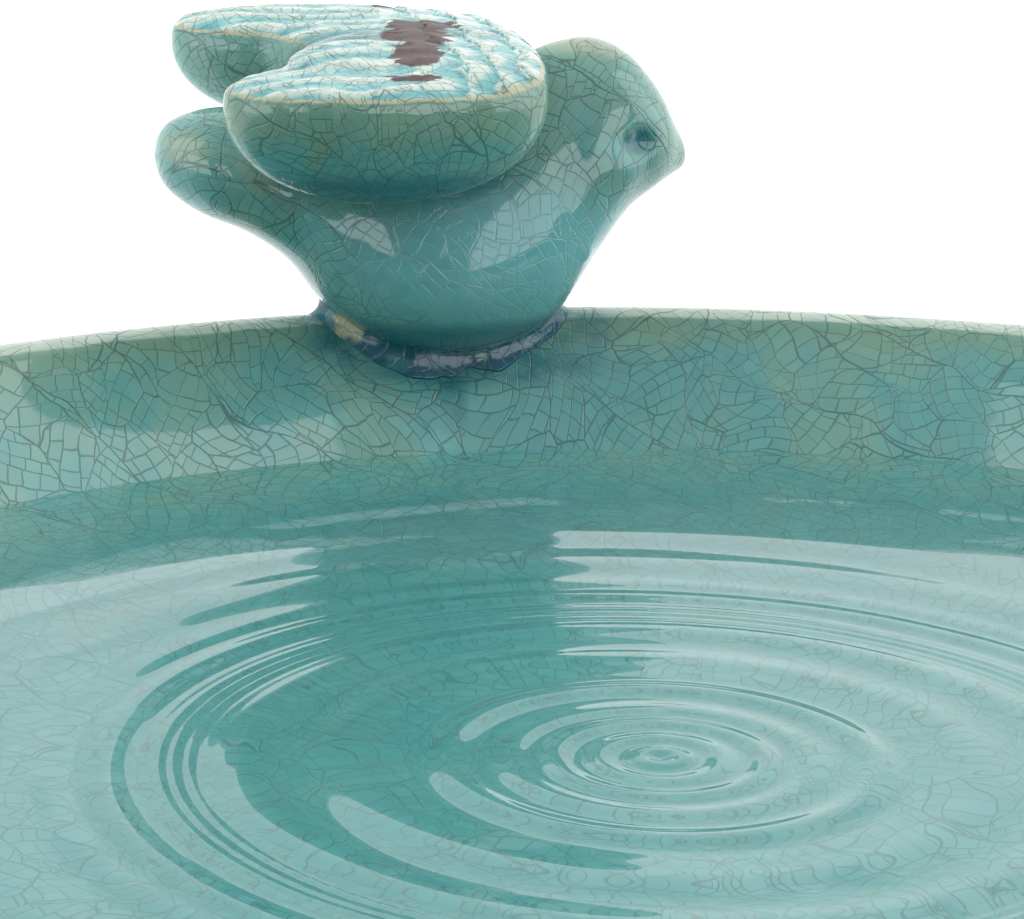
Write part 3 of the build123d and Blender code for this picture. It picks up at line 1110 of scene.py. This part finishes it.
# %% Camera
data = bpy.data.cameras.new("camera")
data.lens, data.sensor_width = 105.47, 36
data.clip_start = 10 * MM
camera = bpy.data.objects.new("camera", data)
bpy.context.collection.objects.link(camera)
HEADING, PITCH, ROLL = radians(14.526), radians(14.378), radians(1.387)
camera.matrix_world = (
    Matrix.Translation((-0.11945, -0.32051, RIM + 0.10557))
    @ Matrix.Rotation(-HEADING, 4, "Z")
    @ Matrix.Rotation(pi / 2 - PITCH, 4, "X")
    @ Matrix.Rotation(ROLL, 4, "Z")
)
bpy.context.scene.camera = camera

# %% [markdown]
# ## Light
#
# The studio is a white room with two large softboxes, one on each side, and a dark gap in front where
# the camera stands. A glossy glaze shows that room as in a mirror, so it is built as a world: for each
# direction it says how bright the room is. Three small boxes only give the glaze its highlights, so
# only glossy rays see them. A camera ray that misses everything sees plain white.


# %% The white room
BACKDROP, SOFTBOX, SMALL_BOX, SEEN_BEHIND = 1.75, 3.6, 4.2, 2.0
# facing, left, right, low, high and brightness of each panel
LARGE_PANELS = [
    (145, -2.14, -0.25, -0.5, 2.14, SOFTBOX),
    (-145, 0.25, 2.14, 0.75, 2.6, SOFTBOX),
    (-145, 0.25, 2.14, -0.9, 0.75, 0.5 * SOFTBOX),
]
SMALL_PANELS = [
    (155, -0.31, 0.31, -0.10, 0.60, SMALL_BOX),
    (-160, -0.09, 0.09, 0.03, 0.42, SMALL_BOX),
    (-122, -0.44, 0.44, -0.6, 0.5, SMALL_BOX),
]
PANEL_EDGE = 0.015
world = bpy.data.worlds.new("white room")
bpy.context.scene.world = world
g = Graph(world)
look = g.node("TexCoord").outputs["Generated"]


def window(value, low, high):
    """1 between two numbers and 0 beyond them, with a narrow edge."""
    return g.math("MULTIPLY", g.spread(value, low - PANEL_EDGE, low + PANEL_EDGE),
                  g.spread(value, high - PANEL_EDGE, high + PANEL_EDGE, 1.0, 0.0))


def softbox(facing, left, right, low, high, brightness):
    """An upright panel seen from the object: facing degrees from +Y towards +X, the rest tangents."""
    a = radians(facing)
    ahead = g.vector("DOT_PRODUCT", look, (sin(a), cos(a), 0))
    aside = g.vector("DOT_PRODUCT", look, (cos(a), -sin(a), 0))
    above = g.vector("DOT_PRODUCT", look, (0, 0, 1))
    front = g.math("MAXIMUM", ahead, 0.0001)
    wide = window(g.math("DIVIDE", aside, front), left, right)
    tall = window(g.math("DIVIDE", above, front), low, high)
    return g.math("MULTIPLY", g.math("MULTIPLY", wide, tall), brightness)


rise = g.vector("DOT_PRODUCT", look, (0, 0, 1))
away = g.vector("DOT_PRODUCT", look, (0, 1, 0))
room = g.spread(rise, 0.2, 0.95, 0.22, 0.9)
room = g.math("MAXIMUM", room, g.spread(away, 0.10, 0.24, 0.0, BACKDROP))
for panel in LARGE_PANELS:
    room = g.math("MAXIMUM", room, softbox(*panel))
ray = g.node("LightPath")
for panel in SMALL_PANELS:
    mirrored = g.math("MULTIPLY", softbox(*panel), ray.outputs["Is Glossy Ray"])
    room = g.math("MAXIMUM", room, mirrored)
seen = ray.outputs["Is Camera Ray"]
room = g.math("ADD", g.math("MULTIPLY", room, g.math("SUBTRACT", 1.0, seen)),
              g.math("MULTIPLY", seen, SEEN_BEHIND))
background = g.node("Background")
g.put(room, background.inputs["Strength"])
g.put(background.outputs[0], g.node("OutputWorld").inputs["Surface"])
bpy.context.scene.view_settings.view_transform = "Standard"

# %% [markdown]
# ## Floor
#
# The floor is a wide, plain, pale disc that isn't part of the object.

# %% Floor
start_clean()
bpy.ops.mesh.primitive_circle_add(vertices=128, radius=3, fill_type="NGON")
floor = bpy.context.object
floor.name = "floor"
g = Graph(bpy.data.materials.new("pale floor"))
g.place = g.node("TexCoord").outputs["Object"]
shader = g.node("BsdfPrincipled")
g.put(g.mix(g.noise(g.place, 0.4, 3.0), (0.86, 0.86, 0.86, 1), (0.90, 0.90, 0.90, 1)),
      shader.inputs["Base Color"])
shader.inputs["Roughness"].default_value = 0.9
shader.inputs["Emission Color"].default_value = (1, 1, 1, 1)
shader.inputs["Emission Strength"].default_value = 0.35
g.put(shader.outputs[0], g.node("OutputMaterial").inputs["Surface"])
dress(floor, bpy.data.materials["pale floor"])
